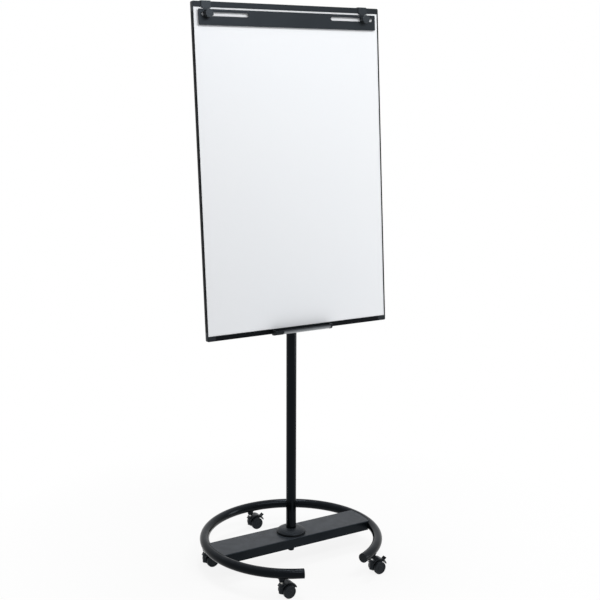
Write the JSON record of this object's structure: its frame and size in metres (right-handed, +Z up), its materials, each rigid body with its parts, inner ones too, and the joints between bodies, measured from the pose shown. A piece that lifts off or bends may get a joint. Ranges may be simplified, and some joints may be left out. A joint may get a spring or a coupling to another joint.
{
  "type": "flipchart easel",
  "caption": "Mobile flipchart easel: framed white writing board with pad clamp and pen tray, tilting on a telescopic column over a C-shaped tube ring on casters.",
  "frame": {"origin": "on the floor, on the column's vertical axis", "axes": "+Z up along the column; the writing face looks towards -Y and its right side, as read, is +X"},
  "size_m": [0.69, 0.6225, 1.8976],
  "materials": {
    "black_paint": "satin black powder coat",
    "black_moulding": "fine-grained black moulding",
    "zinc_steel": "bright zinc plated",
    "nylon": "natural nylon",
    "cast_alloy": "die-cast, tumbled",
    "white_lacquer": "glossy white lacquer",
    "fibreboard": "raw fibreboard",
    "backing_metal": "mill finish sheet",
    "dark_anodised": "charcoal coated extrusion",
    "tray_finish": "black, semi-gloss",
    "charcoal_plate": "charcoal coated plate",
    "hook_finish": "dark grey coat",
    "caster_hood": "black nylon, satin",
    "caster_wheel": "black nylon"
  },
  "bodies": {
    "base": {"ring_tube": "black_paint", "ring_plugs": "black_moulding", "cross_bar": "black_paint", "base_stiffener": "black_paint", "caster_sockets": "black_paint", "column_tube": "black_paint", "column_foot": "zinc_steel", "column_bolt": "black_moulding", "column_cover": "black_moulding", "column_bush": "nylon", "clamp_collar": "black_moulding"},
    "clamp_pad": {"clamp_pad": "nylon"},
    "height_knob": {"height_knob": "black_moulding"},
    "mast": {"mast_tube": "black_paint", "mast_shoe": "nylon", "mast_head": "cast_alloy"},
    "board": {"friction_washers": "nylon", "tilt_bracket": "black_paint", "bracket_screws": "zinc_steel", "pivot_bolt": "zinc_steel", "pivot_nut": "zinc_steel", "writing_sheet": "white_lacquer", "board_core": "fibreboard", "backing_sheet": "backing_metal", "top_rail": "dark_anodised", "bottom_rail": "dark_anodised", "left_stile": "dark_anodised", "right_stile": "dark_anodised", "board_corners": "black_moulding", "pen_tray": "tray_finish", "tray_caps": "black_moulding"},
    "clamp_plate": {"clamp_plate": "charcoal_plate"},
    "left_hook": {"left_hook": "hook_finish"},
    "left_washer": {"left_washer": "zinc_steel"},
    "left_knob": {"left_knob": "black_moulding"},
    "right_hook": {"right_hook": "hook_finish"},
    "right_washer": {"right_washer": "zinc_steel"},
    "right_knob": {"right_knob": "black_moulding"},
    "caster_1": {"caster_1_stem": "zinc_steel", "caster_1_housing": "caster_hood"},
    "caster_1_front_wheel": {"caster_1_front_wheel": "caster_wheel"},
    "caster_1_rear_wheel": {"caster_1_rear_wheel": "caster_wheel"},
    "caster_2": {"caster_2_stem": "zinc_steel", "caster_2_housing": "caster_hood"},
    "caster_2_front_wheel": {"caster_2_front_wheel": "caster_wheel"},
    "caster_2_rear_wheel": {"caster_2_rear_wheel": "caster_wheel"},
    "caster_2_pedal": {"caster_2_pedal": "caster_hood"},
    "caster_3": {"caster_3_stem": "zinc_steel", "caster_3_housing": "caster_hood"},
    "caster_3_front_wheel": {"caster_3_front_wheel": "caster_wheel"},
    "caster_3_rear_wheel": {"caster_3_rear_wheel": "caster_wheel"},
    "caster_4": {"caster_4_stem": "zinc_steel", "caster_4_housing": "caster_hood"},
    "caster_4_front_wheel": {"caster_4_front_wheel": "caster_wheel"},
    "caster_4_rear_wheel": {"caster_4_rear_wheel": "caster_wheel"},
    "caster_5": {"caster_5_stem": "zinc_steel", "caster_5_housing": "caster_hood"},
    "caster_5_front_wheel": {"caster_5_front_wheel": "caster_wheel"},
    "caster_5_rear_wheel": {"caster_5_rear_wheel": "caster_wheel"},
    "caster_5_pedal": {"caster_5_pedal": "caster_hood"}
  },
  "joints": [
    {"name": "height_slide", "type": "slide", "parent": "base", "child": "mast", "axis": [0, 0, 1], "range_m": [-0.18, 0.12]},
    {"name": "clamp_pad_travel", "type": "slide", "parent": "base", "child": "clamp_pad", "axis": [0, 1, 0], "range_m": [0, 0.0019]},
    {"name": "height_knob_turn", "type": "hinge", "parent": "clamp_pad", "child": "height_knob", "pos_m": [0, 0.039, 0.931], "axis": [0, 1, 0], "range_deg": [0, 540]},
    {"name": "board_tilt", "type": "hinge", "parent": "mast", "child": "board", "pos_m": [0, 0, 1.18], "axis": [-1, 0, 0], "range_deg": [-4.24, 20.76]},
    {"name": "clamp_plate_travel", "type": "slide", "parent": "board", "child": "clamp_plate", "axis": [0, -0.9973, 0.0739], "range_m": [0, 0.006]},
    {"name": "left_hook_slide", "type": "slide", "parent": "board", "child": "left_hook", "axis": [1, 0, 0], "range_m": [-0.0135, 0.139]},
    {"name": "left_washer_travel", "type": "slide", "parent": "left_hook", "child": "left_washer", "axis": [0, -0.9973, 0.0739], "range_m": [0, 0.00605]},
    {"name": "left_knob_turn", "type": "hinge", "parent": "left_washer", "child": "left_knob", "pos_m": [-0.298, 0.0067, 1.85676], "axis": [0, -0.9973, 0.0739], "range_deg": [0, 2178]},
    {"name": "right_hook_slide", "type": "slide", "parent": "board", "child": "right_hook", "axis": [1, 0, 0], "range_m": [-0.122, 0.0305]},
    {"name": "right_washer_travel", "type": "slide", "parent": "right_hook", "child": "right_washer", "axis": [0, -0.9973, 0.0739], "range_m": [0, 0.00605]},
    {"name": "right_knob_turn", "type": "hinge", "parent": "right_washer", "child": "right_knob", "pos_m": [0.281, 0.0067, 1.85676], "axis": [0, -0.9973, 0.0739], "range_deg": [0, 2178]},
    {"name": "caster_1_swivel", "type": "hinge", "parent": "base", "child": "caster_1", "pos_m": [0.28912, 0.09394, 0.049], "axis": [0, 0, 1], "continuous": true},
    {"name": "caster_1_front_roll", "type": "hinge", "parent": "caster_1", "child": "caster_1_front_wheel", "pos_m": [0.30862, 0.09394, 0.022], "axis": [0, 1, 0], "continuous": true},
    {"name": "caster_1_rear_roll", "type": "hinge", "parent": "caster_1", "child": "caster_1_rear_wheel", "pos_m": [0.30862, 0.09394, 0.022], "axis": [0, 1, 0], "continuous": true},
    {"name": "caster_2_swivel", "type": "hinge", "parent": "base", "child": "caster_2", "pos_m": [0, 0.304, 0.049], "axis": [0, 0, 1], "continuous": true},
    {"name": "caster_2_front_roll", "type": "hinge", "parent": "caster_2", "child": "caster_2_front_wheel", "pos_m": [0.0195, 0.304, 0.022], "axis": [0, 1, 0], "continuous": true},
    {"name": "caster_2_rear_roll", "type": "hinge", "parent": "caster_2", "child": "caster_2_rear_wheel", "pos_m": [0.0195, 0.304, 0.022], "axis": [0, 1, 0], "continuous": true},
    {"name": "caster_2_pedal_press", "type": "hinge", "parent": "caster_2", "child": "caster_2_pedal", "pos_m": [0.03, 0.304, 0.04019], "axis": [0, 1, 0], "range_deg": [0, 8]},
    {"name": "caster_3_swivel", "type": "hinge", "parent": "base", "child": "caster_3", "pos_m": [-0.28912, 0.09394, 0.049], "axis": [0, 0, 1], "continuous": true},
    {"name": "caster_3_front_roll", "type": "hinge", "parent": "caster_3", "child": "caster_3_front_wheel", "pos_m": [-0.26962, 0.09394, 0.022], "axis": [0, 1, 0], "continuous": true},
    {"name": "caster_3_rear_roll", "type": "hinge", "parent": "caster_3", "child": "caster_3_rear_wheel", "pos_m": [-0.26962, 0.09394, 0.022], "axis": [0, 1, 0], "continuous": true},
    {"name": "caster_4_swivel", "type": "hinge", "parent": "base", "child": "caster_4", "pos_m": [-0.17869, -0.24594, 0.049], "axis": [0, 0, 1], "continuous": true},
    {"name": "caster_4_front_roll", "type": "hinge", "parent": "caster_4", "child": "caster_4_front_wheel", "pos_m": [-0.15919, -0.24594, 0.022], "axis": [0, 1, 0], "continuous": true},
    {"name": "caster_4_rear_roll", "type": "hinge", "parent": "caster_4", "child": "caster_4_rear_wheel", "pos_m": [-0.15919, -0.24594, 0.022], "axis": [0, 1, 0], "continuous": true},
    {"name": "caster_5_swivel", "type": "hinge", "parent": "base", "child": "caster_5", "pos_m": [0.17869, -0.24594, 0.049], "axis": [0, 0, 1], "continuous": true},
    {"name": "caster_5_front_roll", "type": "hinge", "parent": "caster_5", "child": "caster_5_front_wheel", "pos_m": [0.19819, -0.24594, 0.022], "axis": [0, 1, 0], "continuous": true},
    {"name": "caster_5_rear_roll", "type": "hinge", "parent": "caster_5", "child": "caster_5_rear_wheel", "pos_m": [0.19819, -0.24594, 0.022], "axis": [0, 1, 0], "continuous": true},
    {"name": "caster_5_pedal_press", "type": "hinge", "parent": "caster_5", "child": "caster_5_pedal", "pos_m": [0.20869, -0.24594, 0.04019], "axis": [0, 1, 0], "range_deg": [0, 8]}
  ],
  "couplings": [
    {"joint": "clamp_pad_travel", "follows": "height_knob_turn", "m_per_rad": 0.00019894},
    {"joint": "left_washer_travel", "follows": "clamp_plate_travel", "ratio": 1},
    {"joint": "right_washer_travel", "follows": "clamp_plate_travel", "ratio": 1},
    {"joint": "left_knob_turn", "follows": "clamp_plate_travel", "rad_per_m": 6283.2},
    {"joint": "right_knob_turn", "follows": "clamp_plate_travel", "rad_per_m": 6283.2}
  ]
}
